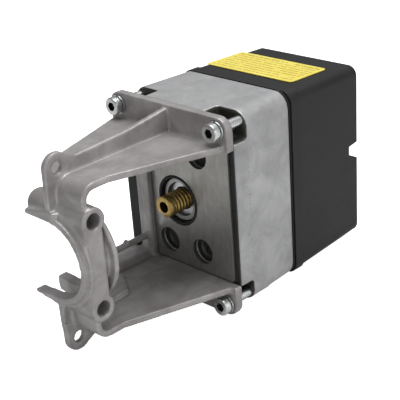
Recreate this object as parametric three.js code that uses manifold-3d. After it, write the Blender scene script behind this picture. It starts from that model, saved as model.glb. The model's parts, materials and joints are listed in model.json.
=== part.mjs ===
// Motorised actuator head for a zone valve. The cast yoke clamps round the valve's neck with a
// U-bolt, and a gear motor drives the threaded stem in and out through the gearbox's front.
// Sizes are in millimetres. While it is built, +X runs along the stem towards the cover, +Z is
// up, x = 0 is the gearbox's front land and the stem lies on y = z = 0. The finished group is
// then moved along X so that its origin is the middle of the whole object.
import * as THREE from "three";
import { mergeVertices } from "three/addons/utils/BufferGeometryUtils.js";
import Module from "manifold-3d";

const wasm = await Module();
wasm.setup();

// ---- clearances
const gap = 0.3; // between pieces that touch
const runningGap = 0.3; // round a shaft, pin or shank
const roomGap = 1; // between pieces that only pass each other

// ---- gearbox housing
const gearboxWidth = 71.2; // across Y at the front
const gearboxHeight = 94.6; // across Z at the front
const gearboxDepth = 39.3;
const gearboxWall = 3.4;
const frontWall = 5.5;
const frontBand = 8.4; // untapered length behind the front land
const gearboxDraft = 1.9; // narrowing of the width from the band to the rear
const gearboxEdgeRadius = 8;
const recessDepth = 8.4; // corner recesses round the long screws
const recessInset = 16.6; // recess length along Y
const recessHeight = 12.3; // recess length along Z
const recessRadius = 5;

// ---- yoke
const footFront = -5.6;
const footBack = -1.4;
const footInnerZ = 33;
const earMarginY = 1.5; // how far the foot's ears stand out past the gearbox
const earMarginZ = 0.9;
const earRadius = 6;
const webThickness = 3;
const webEdgeInset = 0.6; // the web's edge inside the gearbox's side, at the foot
const webStraight = 1.6; // length of the web's edge that runs straight out of the foot
const webTaperEnd = -56.1; // where the web's edges stop closing in
const webNarrowest = 17.8; // half-width of the web at the saddle
const webCutX = -60; // where the web's far edge turns in towards the bend
const upperArmFarY = 7.6; // far edge of each arm at its bend
const lowerArmFarY = 5;
const finThickness = 3;
const finDrop = [[0, 0.3], [24, 3.4], [40, 4.2]]; // out from the foot, below the gearbox's top
const finDropAtLug = 4.9;
const bendInnerRadius = 4.2;
const bendSetBack = 0.7; // the bend's inner face ahead of the bolt's axis
const lugRadius = 6.6;
const lugHoleRadius = 2.75;
const lugX = -68.9;
const lugZ = 40.1;

// ---- valve neck and U-bolt that the yoke takes
const neckRadius = 17.5;
const boltHoleRadius = 3.55;
const boltBossRadius = 6;
const boltX = -67.7;
const saddleFront = -76.4;
const saddleRear = -59.3;
const saddleNearY = -19.6; // flat pad and boss faces
const upperBarrelFarY = 17;
const lowerBarrelFarY = 1.5;
const rimWidth = 3.6;
const rimStep = 1.7; // depth of the front rim's thin first step
const rimStepRise = 2.7; // each rise is an outer radius over the neck's
const rimRise = 5.1;
const shellRise = 1.6;
const ribWidth = 2.4;
const ribRise = 5.3;
const grooveWidth = 2; // between the flat pad and the rear rib
const tabReach = 15.5; // how far the saddle's tabs stand out past its middle
const tabWidth = 5;
const ejectorAt = [-66.5, -0.5];
const ejectorRadius = 3.4;

// ---- rail and stile that join the arms on the far side
const railX = [-35, -3.4];
const railNearY = 18.8;
const railThickness = 3.1;
const railTop = -21.4;
const railBarHeight = 2.4;
const railSlotX = [-31, -4.6];
const ledgeTop = -29.9;
const ledgeNotchX = -14;
const ledgeNotchY = 26.9;
const nubX = -18.7;
const nubRadius = 1.1;
const stileX = -3.4;
const stileY = [17, 27];
const stileBead = 1.8; // how far the stile's near edge stands forward
const stileBeadWidth = 4.8;

// ---- long screws
const screwRadius = 2.5;
const screwHeadRadius = 4.25;
const screwHeadHeight = 3.4;
const screwInset = 4.6; // axis to the gearbox's side
const screwInsetZ = 4.9; // axis to the gearbox's top
const screwReach = 20; // how deep the shank goes into the gearbox
const socketRadius = 2.3;
const socketDepth = 2;
const washerThickness = 0.9;
const washerRadius = 4.6;

// ---- front plate, seal and bush
const plateThickness = 2;
const plateFarY = 16.7;
const plateNearMargin = 2.4; // plate edge to the gearbox's near side
const plateHalfHeight = 32.5;
const accessRadius = 6.2;
const accessDepth = 3.5;
const accessAt = [[7.5, -22.3], [-14, -22.3], [-14, 25.5], [7.5, 25.5]];
const sealRadius = 12.2;
const sealInner = 10.8;
const bushRadius = 10.5;
const gasketThickness = 0.8;

// ---- stem and drive nut
const stemRadius = 5.2;
const stemFront = -11.5;
const stemRear = 59;
const stemStroke = 19;
const stemHoleRadius = 2.75;
const stemHoleDepth = 8;
const threadPitch = 2;
const threadDepth = 0.9;
const threadStart = -8.5;
const threadEnd = 12;
const hubWall = 2.5;
const bearingWidth = 4.5;
const bearingThickness = 3.6;
const rearBearingThickness = 2.6;

// ---- gear train
const toothHeightShare = 0.8; // addendum in modules
const toothRootShare = 1.2; // dedendum in modules
const coarseModule = 1;
const fineModule = 0.8;
const nutTeeth = 44;
const secondPinionTeeth = 12;
const secondWheelTeeth = 40;
const thirdPinionTeeth = 10;
const thirdWheelTeeth = 24;
const motorPinionTeeth = 10;
const secondDirection = 115.4; // degrees from the nut's axis, seen from the cover
const thirdDirection = 0;
const motorDirection = -50;
const nutLayer = [12, 18];
const secondWheelLayer = [20, 24];
const thirdWheelLayer = [26, 29];
const gearPlateX = 31;
const gearPlateThickness = 3;
const pinRadius = 1.5;
const motorShaftRadius = 1.2;

// ---- motor
const motorRadius = 13;
const motorLength = 31;
const motorFlangeThickness = 1.8;
const endBellLength = 3.4;
const endBellRadius = 11;

// ---- cover
const coverLength = 52.4;
const coverGasketThickness = 0.6;
const coverWall = 2.2;
const lipLength = 5.7;
const lipOverhangY = 0.7; // past the gearbox's rear edge
const lipInsetZ = 0.4; // inside the gearbox's top and underside
const lipStep = 0.8; // lip to body
const coverDraft = 1.5; // narrowing of each side from the lip to the end
const coverEdgeRadius = 5;
const channelDepth = 6.7;
const channelMouth = [-3.5, 5.6];
const channelFloor = [0.4, 4.6];
const wellRadius = 3.6;
const wellDepth = 9.7;
const postRadius = 2.8;
const coverScrewRadius = 1.6;
const coverScrewHead = 3;

// ---- label
const labelThickness = 0.35;
const labelGap = 0.15;
const labelStart = 53;
const labelEnd = 80;
const labelNearY = -24;
const labelFarY = 30.5;
const labelCorner = 2;

// ---- position sensor and electronics
const armThickness = 3;
const armRingWall = 2.6;
const guideRodZ = -19;
const guideRodRadius = 1.5;
const boardThickness = 1.6;
const boardHalfHeight = 38;
const bracketThickness = 1.5;
const potHeight = 5.2;
const potHalfWidth = 4;
const poles = 5;
const polePitch = 6;
const terminalLength = 10; // along the stem
const terminalHeight = 9;
const boardMargin = 2; // from the board's end to the pieces on it
const relayStart = 9; // from the board's front edge
const relayLength = 15;
const relayHeight = 11;
const relayWidth = 14;
const capacitorRadius = 5;
const capacitorHeight = 12;

// ---- worked out from the sizes above
const halfWidth = gearboxWidth / 2;
const halfHeight = gearboxHeight / 2;
const screwY = halfWidth - screwInset;
const screwZ = halfHeight - screwInsetZ;
const coverStart = gearboxDepth + coverGasketThickness + 2 * gap;
const coverEnd = coverStart + coverLength;
const lipEnd = coverStart + lipLength;
const hubRadius = stemRadius + 0.4 + hubWall;
const boltZ = neckRadius + boltHoleRadius - 0.75;
const gearPlateEnd = gearPlateX + gearPlateThickness;
const secondAt = meshPoint([0, 0], coarseModule * (nutTeeth + secondPinionTeeth) / 2,
  secondDirection);
const thirdAt = meshPoint(secondAt, fineModule * (secondWheelTeeth + thirdPinionTeeth) / 2,
  thirdDirection);
const motorAt = meshPoint(thirdAt, fineModule * (thirdWheelTeeth + motorPinionTeeth) / 2,
  motorDirection);

// ---- geometry helpers
const turnTo = {
  x: new THREE.Matrix4().makeRotationZ(-Math.PI / 2),
  y: new THREE.Matrix4(),
  z: new THREE.Matrix4().makeRotationX(Math.PI / 2),
};
const extrudeTo = {
  x: new THREE.Matrix4().makeBasis(
    new THREE.Vector3(0, 1, 0), new THREE.Vector3(0, 0, 1), new THREE.Vector3(1, 0, 0)),
  y: new THREE.Matrix4().makeBasis(
    new THREE.Vector3(1, 0, 0), new THREE.Vector3(0, 0, 1), new THREE.Vector3(0, -1, 0)),
  z: new THREE.Matrix4(),
};

function meshPoint(from, distance, degrees) {
  const angle = THREE.MathUtils.degToRad(degrees);
  return [from[0] + distance * Math.cos(angle), from[1] + distance * Math.sin(angle)];
}

function solid(geometry) {
  geometry.deleteAttribute("normal");
  geometry.deleteAttribute("uv");
  const merged = mergeVertices(geometry, 1e-4);
  const corners = merged.getIndex().array;
  const kept = [];
  for (let i = 0; i < corners.length; i += 3) {
    const [a, b, c] = corners.slice(i, i + 3);
    if (a !== b && b !== c && c !== a) kept.push(a, b, c);
  }
  return new wasm.Manifold(new wasm.Mesh({
    numProp: 3,
    vertProperties: new Float32Array(merged.getAttribute("position").array),
    triVerts: new Uint32Array(kept),
  }));
}

function block([x0, x1], [y0, y1], [z0, z1]) {
  const geometry = new THREE.BoxGeometry(x1 - x0, y1 - y0, z1 - z0);
  geometry.translate((x0 + x1) / 2, (y0 + y1) / 2, (z0 + z1) / 2);
  return solid(geometry);
}

// A profile of [radius, place along the axis] points, turned about an axis through centre.
function turned(axis, centre, profile, sides = 24) {
  const points = profile.map(([radius, place]) => new THREE.Vector2(radius, place));
  const geometry = new THREE.LatheGeometry(points, sides);
  geometry.applyMatrix4(turnTo[axis]);
  const [a, b] = centre;
  if (axis === "x") geometry.translate(0, a, b);
  if (axis === "y") geometry.translate(a, 0, b);
  if (axis === "z") geometry.translate(a, b, 0);
  return solid(geometry);
}

function rod(axis, centre, radius, [low, high], sides = 24) {
  return turned(axis, centre, [[0, low], [radius, low], [radius, high], [0, high]], sides);
}

function ring(axis, centre, inner, outer, [low, high], sides = 32) {
  const profile = [[inner, low], [outer, low], [outer, high], [inner, high], [inner, low]];
  return turned(axis, centre, profile, sides);
}

// An outline of [u, v] points across the axis: Y and Z for x, X and Z for y, X and Y for z.
function prism(axis, outline, [low, high]) {
  const shape = new THREE.Shape(outline.map(([u, v]) => new THREE.Vector2(u, v)));
  const geometry = new THREE.ExtrudeGeometry(shape, { depth: high - low, bevelEnabled: false });
  geometry.applyMatrix4(extrudeTo[axis]);
  if (axis === "x") geometry.translate(low, 0, 0);
  if (axis === "y") geometry.translate(0, high, 0);
  if (axis === "z") geometry.translate(0, 0, low);
  return solid(geometry);
}

function arc([u, v], radius, from, to, steps = 8) {
  const points = [];
  for (let i = 0; i <= steps; i += 1) {
    points.push(meshPoint([u, v], radius, from + (to - from) * i / steps));
  }
  return points;
}

function roundedOutline([u0, u1], [v0, v1], radius, steps = 6) {
  return [
    ...arc([u1 - radius, v1 - radius], radius, 0, 90, steps),
    ...arc([u0 + radius, v1 - radius], radius, 90, 180, steps),
    ...arc([u0 + radius, v0 + radius], radius, 180, 270, steps),
    ...arc([u1 - radius, v0 + radius], radius, 270, 360, steps),
  ];
}

function mirrored(outline, side) {
  return outline.map(([u, v]) => [u, v * side]);
}

function ordered(low, high, side) {
  return side > 0 ? [low, high] : [-high, -low];
}

// A rounded box along X whose far end is narrower than its near end.
function draftedBox(x0, x1, near, far, radius, steps = 6) {
  const outline = roundedOutline([-near[0], near[0]], [-near[1], near[1]], radius, steps);
  const shape = new THREE.Shape(outline.map(([u, v]) => new THREE.Vector2(u, v)));
  const geometry = new THREE.ExtrudeGeometry(shape, { depth: x1 - x0, bevelEnabled: false });
  geometry.applyMatrix4(extrudeTo.x);
  geometry.translate(x0, 0, 0);
  const position = geometry.getAttribute("position");
  for (let i = 0; i < position.count; i += 1) {
    const share = (position.getX(i) - x0) / (x1 - x0);
    position.setY(i, position.getY(i) * (1 + share * (far[0] / near[0] - 1)));
    position.setZ(i, position.getZ(i) * (1 + share * (far[1] / near[1] - 1)));
  }
  return solid(geometry);
}

// ---- materials
const finishes = {
  yokeCasting: { color: 0xa39c97, roughness: 0.5, metalness: 0.75 },
  gearboxCasting: { color: 0xa9aaa8, roughness: 0.55, metalness: 0.75 },
  brightSteel: { color: 0xc9cac8, roughness: 0.28, metalness: 1 },
  plateSteel: { color: 0x8f8f8c, roughness: 0.4, metalness: 0.9 },
  brass: { color: 0xa8823a, roughness: 0.4, metalness: 1 },
  gearSteel: { color: 0x9b9d9f, roughness: 0.35, metalness: 1 },
  blackRubber: { color: 0x1b1b1b, roughness: 0.75, metalness: 0 },
  blackPlastic: { color: 0x252527, roughness: 0.55, metalness: 0 },
  whitePlastic: { color: 0xd8d5cb, roughness: 0.5, metalness: 0 },
  labelYellow: { color: 0xe9cf2c, roughness: 0.5, metalness: 0 },
  boardGreen: { color: 0x1f5b3a, roughness: 0.45, metalness: 0 },
  greenPlastic: { color: 0x2f7d4f, roughness: 0.5, metalness: 0 },
};

const assembly = new THREE.Group();

function place(name, manifold, finish) {
  const mesh = manifold.getMesh();
  const geometry = new THREE.BufferGeometry();
  geometry.setAttribute("position", new THREE.BufferAttribute(mesh.vertProperties, 3));
  geometry.setIndex(new THREE.BufferAttribute(mesh.triVerts, 1));
  geometry.computeVertexNormals();
  const piece = new THREE.Mesh(geometry, new THREE.MeshStandardMaterial(finishes[finish]));
  piece.name = name;
  assembly.add(piece);
}

// ---- yoke casting
const webOuterZ = footInnerZ + webThickness;
const bendAt = [boltX + bendInnerRadius - bendSetBack, footInnerZ - bendInnerRadius];
const wallOuterX = bendAt[0] - bendInnerRadius - webThickness;
const webHalfWidthAtFoot = halfWidth - webEdgeInset;
const taperStart = footFront + webStraight;

function webHalfWidth(x) {
  const share = THREE.MathUtils.clamp((taperStart - x) / (taperStart - webTaperEnd), 0, 1);
  return THREE.MathUtils.lerp(webHalfWidthAtFoot, webNarrowest, share);
}

function yokeFoot(side) {
  const outline = roundedOutline([-halfWidth - earMarginY, halfWidth + earMarginY],
    [footInnerZ - earRadius, halfHeight + earMarginZ], earRadius);
  const bar = prism("x", mirrored(outline, side), [footFront, footBack]);
  const inside = block([footFront - 1, footBack + 1], [-halfWidth * 2, halfWidth * 2],
    ordered(0, footInnerZ, side));
  return bar.subtract(inside);
}

function yokeArm(side, farY) {
  const wide = webHalfWidthAtFoot;
  const plan = [
    [footBack - 1, -wide], [taperStart, -wide], [webTaperEnd, -webNarrowest],
    [bendAt[0], -webNarrowest], [bendAt[0], webNarrowest], [webTaperEnd, webNarrowest],
    [taperStart, wide], [footBack - 1, wide],
  ];
  const web = prism("z", plan, ordered(footInnerZ, webOuterZ, side));
  const bend = [
    ...arc(bendAt, bendInnerRadius, 90, 180),
    [bendAt[0] - bendInnerRadius, boltZ],
    [wallOuterX, boltZ],
    ...arc(bendAt, bendInnerRadius + webThickness, 180, 90),
  ];
  const farCorner = prism("z", [
    [webCutX, webNarrowest], [webCutX, halfWidth], [wallOuterX - 1, halfWidth],
    [wallOuterX - 1, farY], [wallOuterX + webThickness, farY],
  ], ordered(0, webOuterZ + 1, side));
  return web.add(prism("y", mirrored(bend, side), [-webNarrowest, webNarrowest]))
    .subtract(farCorner);
}

function yokeFin(side) {
  const rootX = footFront + 1;
  const outline = [
    [rootX, webOuterZ - 1],
    ...finDrop.map(([reach, drop]) => [rootX - reach, halfHeight - drop]),
    [lugX + lugRadius + 3, halfHeight - finDropAtLug],
    ...arc([lugX, lugZ], lugRadius, 50, 185, 12),
    [saddleFront + 0.2, boltZ + boltHoleRadius], [saddleFront + 0.6, boltZ - 1],
    [boltX - 2, boltZ - 1], [wallOuterX + 1, footInnerZ - bendInnerRadius],
    [bendAt[0], webOuterZ - 1],
  ];
  const fin = prism("y", mirrored(outline, side), [-finThickness / 2, finThickness / 2]);
  return fin.subtract(rod("y", [lugX, lugZ * side], lugHoleRadius, [-finThickness, finThickness]));
}

// A half ring round the neck on the near side, which ends at its middle.
function saddleBand(rise, span) {
  const outer = neckRadius + rise;
  return prism("x", [
    ...arc([0, 0], outer, 90, 270, 28), [0.5, -outer], [0.5, -neckRadius],
    ...arc([0, 0], neckRadius, 270, 90, 28), [0.5, neckRadius], [0.5, outer],
  ], span);
}

// A tab that carries the saddle on past its middle. The rises are over the neck's radius.
function saddleTab(side, span, { inner, outer, root }) {
  return prism("x", mirrored([
    [-4, neckRadius], [0, neckRadius], [tabReach, neckRadius + inner],
    [tabReach + 0.4, neckRadius + (inner + outer) / 2], [tabReach - 0.2, neckRadius + outer],
    [0, neckRadius + root], [-4, neckRadius + root],
  ], side), span);
}

function saddle() {
  const rimEnd = saddleFront + rimWidth;
  const ribStart = saddleRear - ribWidth;
  const padX = [rimEnd - 0.5, ribStart - grooveWidth];
  const frontTabX = [saddleFront, saddleFront + tabWidth];
  const rearTabX = [boltX + boltHoleRadius, saddleRear];
  return saddleBand(rimStepRise, [saddleFront, rimEnd])
    .add(saddleBand(rimRise, [saddleFront + rimStep, rimEnd]))
    .add(saddleBand(shellRise, [rimEnd - 0.5, saddleRear]))
    .add(saddleBand(ribRise, [ribStart, saddleRear]))
    .add(block(padX, [saddleNearY, 0], [-boltZ, boltZ]))
    .add(rod("y", [boltX, boltZ], boltBossRadius, [saddleNearY, upperBarrelFarY], 32))
    .add(rod("y", [boltX, -boltZ], boltBossRadius, [saddleNearY, lowerBarrelFarY], 32))
    .add(saddleTab(1, frontTabX, { inner: 0.2, outer: 2.8, root: rimRise }))
    .add(saddleTab(-1, frontTabX, { inner: 0.9, outer: 2.4, root: 3.9 }))
    .add(saddleTab(1, rearTabX, { inner: 0.2, outer: 7, root: 8 }))
    .add(saddleTab(-1, rearTabX, { inner: -0.2, outer: 7, root: 8 }))
    .subtract(ring("y", ejectorAt, ejectorRadius - 0.2, ejectorRadius + 0.2,
      [saddleNearY - 1, saddleNearY + 0.25], 24));
}

function farRail() {
  const railY = [railNearY, railNearY + railThickness];
  const floor = -footInnerZ - 0.5;
  const beadX = stileX - stileBead;
  const wall = block(railX, railY, [floor, railTop]);
  const slot = prism("y", roundedOutline(railSlotX, [ledgeTop, railTop - railBarHeight], 2.6),
    [railY[0] - 1, railY[1] + 1]);
  const ledge = prism("z", [
    [railX[0], railNearY], [railX[1], railNearY], [railX[1], ledgeNotchY],
    [ledgeNotchX + 4, ledgeNotchY], [ledgeNotchX, webHalfWidth(ledgeNotchX)],
    [railX[0], webHalfWidth(railX[0])],
  ], [floor, ledgeTop]);
  const nub = rod("y", [nubX, railTop + 0.2], nubRadius, railY, 12);
  const stile = block([stileX, footBack], stileY, [-footInnerZ - 1, footInnerZ + 1]);
  const bead = block([beadX, footBack], [stileY[0], stileY[0] + stileBeadWidth],
    [-footInnerZ - 1, footInnerZ + 1]);
  return wall.subtract(slot).add(ledge).add(nub).add(stile).add(bead);
}

function raisedPad() {
  const plan = [[-29.7, 12.6], [-38.2, -0.6], [-48.8, -1.4], [-52, 14.5], [-34, 20]];
  return prism("z", plan, [-footInnerZ - 0.5, -footInnerZ + 2.6]);
}

function yoke() {
  let casting = saddle().add(farRail()).add(raisedPad())
    .add(yokeArm(1, upperArmFarY)).add(yokeArm(-1, lowerArmFarY));
  for (const side of [1, -1]) {
    casting = casting.add(yokeFoot(side)).add(yokeFin(side));
  }
  const neckX = [saddleFront - 1, saddleRear + 3];
  casting = casting.subtract(rod("x", [0, 0], neckRadius, neckX, 56))
    .subtract(block(neckX, [0, upperBarrelFarY * 2], [-neckRadius + 0.3, neckRadius]));
  for (const side of [1, -1]) {
    casting = casting.subtract(rod("y", [boltX, boltZ * side], boltHoleRadius,
      [saddleNearY - 2, upperBarrelFarY + 2], 32));
    for (const near of [1, -1]) {
      casting = casting.subtract(rod("x", [screwY * near, screwZ * side],
        screwRadius + runningGap, [footFront - 1, footBack + 1]));
    }
  }
  return casting;
}
place("yoke_casting", yoke(), "yokeCasting");

// ---- long screws with split washers
const corners = [
  ["upper_near", -1, 1], ["upper_far", 1, 1], ["lower_near", -1, -1], ["lower_far", 1, -1],
];
const washerBack = footFront - gap;
const washerFront = washerBack - washerThickness;
const headBack = washerFront - gap;
const headFront = headBack - screwHeadHeight;

for (const [corner, near, side] of corners) {
  const centre = [screwY * near, screwZ * side];
  const head = turned("x", centre, [
    [0, headFront], [screwHeadRadius - 0.6, headFront], [screwHeadRadius, headFront + 0.6],
    [screwHeadRadius, headBack], [screwRadius, headBack], [screwRadius, screwReach],
    [0, screwReach],
  ], 18);
  const socket = rod("x", centre, socketRadius, [headFront - 1, headFront + socketDepth], 6);
  place(`cap_screw_${corner}`, head.subtract(socket), "brightSteel");
  const split = block([washerFront - 1, washerBack + 1],
    [centre[0] - 0.4, centre[0] + 0.4], ordered(screwZ, screwZ + 8, side));
  const washer = ring("x", centre, screwRadius + runningGap, washerRadius,
    [washerFront, washerBack], 18);
  place(`split_washer_${corner}`, washer.subtract(split), "brightSteel");
}

// ---- gearbox housing
function cornerRecess(near, side, x0, x1, grow = 0) {
  const y0 = halfWidth - recessInset - grow;
  const z0 = halfHeight - recessHeight - grow;
  const outline = roundedOutline([y0, halfWidth + 20], [z0, halfHeight + 20], recessRadius);
  const placed = outline.map(([u, v]) => [u * near, v * side]);
  return prism("x", placed, [x0, x1]);
}

const rearHalf = [halfWidth - gearboxDraft, halfHeight - 0.3];
let housing = draftedBox(0, frontBand, [halfWidth, halfHeight], [halfWidth, halfHeight],
  gearboxEdgeRadius)
  .add(draftedBox(frontBand, gearboxDepth, [halfWidth, halfHeight], rearHalf, gearboxEdgeRadius));
const cavity = draftedBox(frontWall, gearboxDepth + 1,
  [rearHalf[0] - gearboxWall, rearHalf[1] - gearboxWall],
  [rearHalf[0] - gearboxWall, rearHalf[1] - gearboxWall], 4);
const bossFront = frontWall - 0.5;
const bearingSeat = ring("x", [0, 0], hubRadius + gap + bearingThickness + 2 * gap,
  hubRadius + gap + bearingThickness + 2 * gap + 2.4, [bossFront, frontWall + bearingWidth], 40);
let hollow = cavity;
for (const [, near, side] of corners) {
  const boss = rod("x", [screwY * near, screwZ * side], screwRadius + 4,
    [frontWall - 1, screwReach + 2.5]);
  const wall = cornerRecess(near, side, frontWall - 1, recessDepth + 3.4, 3.4);
  hollow = hollow.subtract(boss).subtract(wall);
}
housing = housing.subtract(hollow).add(bearingSeat);
for (const at of [secondAt, thirdAt]) {
  housing = housing.add(rod("x", at, pinRadius + 2.2, [frontWall - 1, frontWall + 3]))
    .subtract(rod("x", at, pinRadius + runningGap, [frontWall + 0.2, frontWall + 4]));
}
housing = housing.subtract(rod("x", [0, 0], sealRadius + gap, [-1, frontWall - 0.5], 40))
  .subtract(rod("x", [0, 0], bushRadius - 1, [0, frontWall + 1], 40));
for (const [, near, side] of corners) {
  housing = housing.subtract(cornerRecess(near, side, -1, recessDepth))
    .subtract(rod("x", [screwY * near, screwZ * side], screwRadius + runningGap,
      [recessDepth - 1, screwReach + 1]));
}
for (const at of accessAt) {
  housing = housing.subtract(rod("x", at, accessRadius, [-1, accessDepth]));
}
const plateScrewAt = [accessAt[1], accessAt[2]];
for (const at of plateScrewAt) {
  housing = housing.subtract(rod("x", at, 1.3 + runningGap, [accessDepth - 1, frontWall - 0.4], 12));
}
place("gearbox_housing", housing, "gearboxCasting");

// ---- yoke gasket, front plate, recessed screws
const gasketX = [-gap - gasketThickness, -gap];
let gasket = prism("x", roundedOutline([-halfWidth, halfWidth],
  [-halfHeight + 0.6, halfHeight - 0.6], 1), gasketX);
const gasketOpening = block([gasketX[0] - 1, 0],
  [-halfWidth + plateNearMargin - gap, stileY[1] - 1], [-footInnerZ + gap * 0.5, footInnerZ - gap * 0.5]);
gasket = gasket.subtract(gasketOpening);
for (const [, near, side] of corners) {
  gasket = gasket.subtract(cornerRecess(near, side, gasketX[0] - 1, 1));
}
place("yoke_gasket", gasket, "blackRubber");

const plateX = [-gap - plateThickness, -gap];
let plate = prism("x", roundedOutline([-halfWidth + plateNearMargin, plateFarY],
  [-plateHalfHeight, plateHalfHeight], 1.5), plateX);
plate = plate.subtract(rod("x", [0, 0], sealRadius + gap, [plateX[0] - 1, 1], 40));
for (const at of accessAt) {
  plate = plate.subtract(rod("x", at, accessRadius, [plateX[0] - 1, 1]));
}
place("front_plate", plate, "plateSteel");

plateScrewAt.forEach((at, index) => {
  const screw = turned("x", at, [
    [0, 1], [2.2, 1], [2.9, 1.6], [2.9, accessDepth - gap], [1.3, accessDepth - gap],
    [1.3, frontWall - 0.7], [0, frontWall - 0.7],
  ], 18);
  const slot = block([0, 1.8], [at[0] - 0.45, at[0] + 0.45], [at[1] - 4, at[1] + 4]);
  place(`plate_screw_${index + 1}`, screw.subtract(slot), "gearSteel");
});

// ---- seal ring, bush and bearings round the stem
const sealProfile = [
  [sealInner, frontWall - 1], [sealInner, -1.8], [sealInner + 0.3, -2.6],
  [sealRadius - 0.3, -2.6], [sealRadius, -2.2], [sealRadius, frontWall - 1],
  [sealInner, frontWall - 1],
];
place("stem_seal_ring", turned("x", [0, 0], sealProfile, 30), "blackRubber");
place("stem_bush", ring("x", [0, 0], hubRadius + gap, bushRadius - 0.1, [-0.6, frontWall - 0.8], 30),
  "brightSteel");
place("front_bearing", ring("x", [0, 0], hubRadius + gap, hubRadius + gap + bearingThickness,
  [frontWall + gap, frontWall + gap + bearingWidth - 0.5], 32), "gearSteel");
place("rear_bearing", ring("x", [0, 0], hubRadius + gap, hubRadius + gap + rearBearingThickness,
  [gearPlateX - 0.5, gearPlateEnd], 32), "gearSteel");

// ---- stem
function stem() {
  const profile = [[0, stemFront], [stemRadius - 0.5, stemFront], [stemRadius, stemFront + 0.5],
    [stemRadius, threadStart]];
  for (let x = threadStart; x < threadEnd; x += threadPitch) {
    profile.push([stemRadius - threadDepth, x + threadPitch * 0.4]);
    profile.push([stemRadius - threadDepth, x + threadPitch * 0.55]);
    profile.push([stemRadius, x + threadPitch * 0.95]);
  }
  profile.push([stemRadius, stemRear], [0, stemRear]);
  return turned("x", [0, 0], profile, 18)
    .subtract(rod("x", [0, 0], stemHoleRadius, [stemFront - 1, stemFront + stemHoleDepth], 16))
    .subtract(block([stemFront - 1, stemFront + 1.6], [1, stemRadius + 1], [-stemRadius - 1, -3.2]));
}
place("stem", stem(), "brass");

// ---- gears
function gearOutline(teeth, size, phase) {
  const pitchRadius = size * teeth / 2;
  const tip = pitchRadius + size * toothHeightShare;
  const root = pitchRadius - size * toothRootShare;
  const step = 360 / teeth;
  const points = [];
  for (let i = 0; i < teeth; i += 1) {
    const middle = phase + i * step;
    points.push(meshPoint([0, 0], root, middle - step * 0.29));
    points.push(meshPoint([0, 0], tip, middle - step * 0.12));
    points.push(meshPoint([0, 0], tip, middle + step * 0.12));
    points.push(meshPoint([0, 0], root, middle + step * 0.29));
  }
  return points;
}

function gear(at, teeth, size, layer, phase) {
  const outline = gearOutline(teeth, size, phase).map(([u, v]) => [u + at[0], v + at[1]]);
  return prism("x", outline, layer);
}

// Turns a gear so that a gap between its teeth faces a tooth of the gear that it meets.
function meshPhase(teeth, towards, drivingTeeth, drivingPhase) {
  const drivingStep = 360 / drivingTeeth;
  const offset = (towards - drivingPhase) / drivingStep;
  const share = offset - Math.floor(offset);
  const step = 360 / teeth;
  return towards + 180 + step * (0.5 + share);
}

const nutPhase = 0;
const secondPinionPhase = meshPhase(secondPinionTeeth, secondDirection, nutTeeth, nutPhase);
const secondWheelPhase = 0;
const thirdPinionPhase = meshPhase(thirdPinionTeeth, thirdDirection, secondWheelTeeth,
  secondWheelPhase);
const thirdWheelPhase = motorDirection;
const motorPinionPhase = meshPhase(motorPinionTeeth, motorDirection, thirdWheelTeeth,
  thirdWheelPhase);

const nutBore = rod("x", [0, 0], stemRadius + 0.4, [-1, gearPlateEnd + 5], 28);
const driveNut = rod("x", [0, 0], hubRadius, [1.5, gearPlateEnd], 32)
  .add(gear([0, 0], nutTeeth, coarseModule, nutLayer, nutPhase)).subtract(nutBore);
place("drive_nut_gear", driveNut, "gearSteel");

function compound(at, wheel, pinion, span, bore) {
  return gear(at, ...wheel).add(gear(at, ...pinion)).add(rod("x", at, bore + 1.4, span, 20))
    .subtract(rod("x", at, bore, [span[0] - 5, span[1] + 5], 16));
}

const pinBore = pinRadius + runningGap;
place("second_gear", compound(secondAt,
  [secondWheelTeeth, fineModule, secondWheelLayer, secondWheelPhase],
  [secondPinionTeeth, coarseModule, [nutLayer[0], secondWheelLayer[0] + 0.5], secondPinionPhase],
  [frontWall + 3 + gap, gearPlateX - gap - 0.5], pinBore), "gearSteel");
place("third_gear", compound(thirdAt,
  [thirdWheelTeeth, fineModule, thirdWheelLayer, thirdWheelPhase],
  [thirdPinionTeeth, fineModule, [secondWheelLayer[0], thirdWheelLayer[0] + 0.5], thirdPinionPhase],
  [frontWall + 3 + gap, gearPlateX - gap - 0.5], pinBore), "gearSteel");
for (const [name, at] of [["second_gear_pin", secondAt], ["third_gear_pin", thirdAt]]) {
  place(name, rod("x", at, pinRadius, [frontWall + 0.6, gearPlateEnd - 0.3], 16), "brightSteel");
}

// ---- gear plate
let gearPlate = prism("x", roundedOutline(
  [-rearHalf[0] + gearboxWall + gap, rearHalf[0] - gearboxWall - gap],
  [-rearHalf[1] + gearboxWall + gap, rearHalf[1] - gearboxWall - gap], 4),
[gearPlateX, gearPlateEnd]);
gearPlate = gearPlate.subtract(rod("x", [0, 0], hubRadius + rearBearingThickness + 2 * gap,
  [gearPlateX - 1, gearPlateEnd + 1], 32))
  .subtract(rod("x", motorAt, motorShaftRadius + 1, [gearPlateX - 1, gearPlateEnd + 1], 20))
  .subtract(rod("x", [0, guideRodZ], guideRodRadius + gap, [gearPlateX - 1, gearPlateEnd + 1], 16));
for (const at of [secondAt, thirdAt]) {
  gearPlate = gearPlate.subtract(rod("x", at, pinRadius + gap, [gearPlateX - 1, gearPlateEnd + 1], 16));
}
place("gear_plate", gearPlate, "plateSteel");

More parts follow.
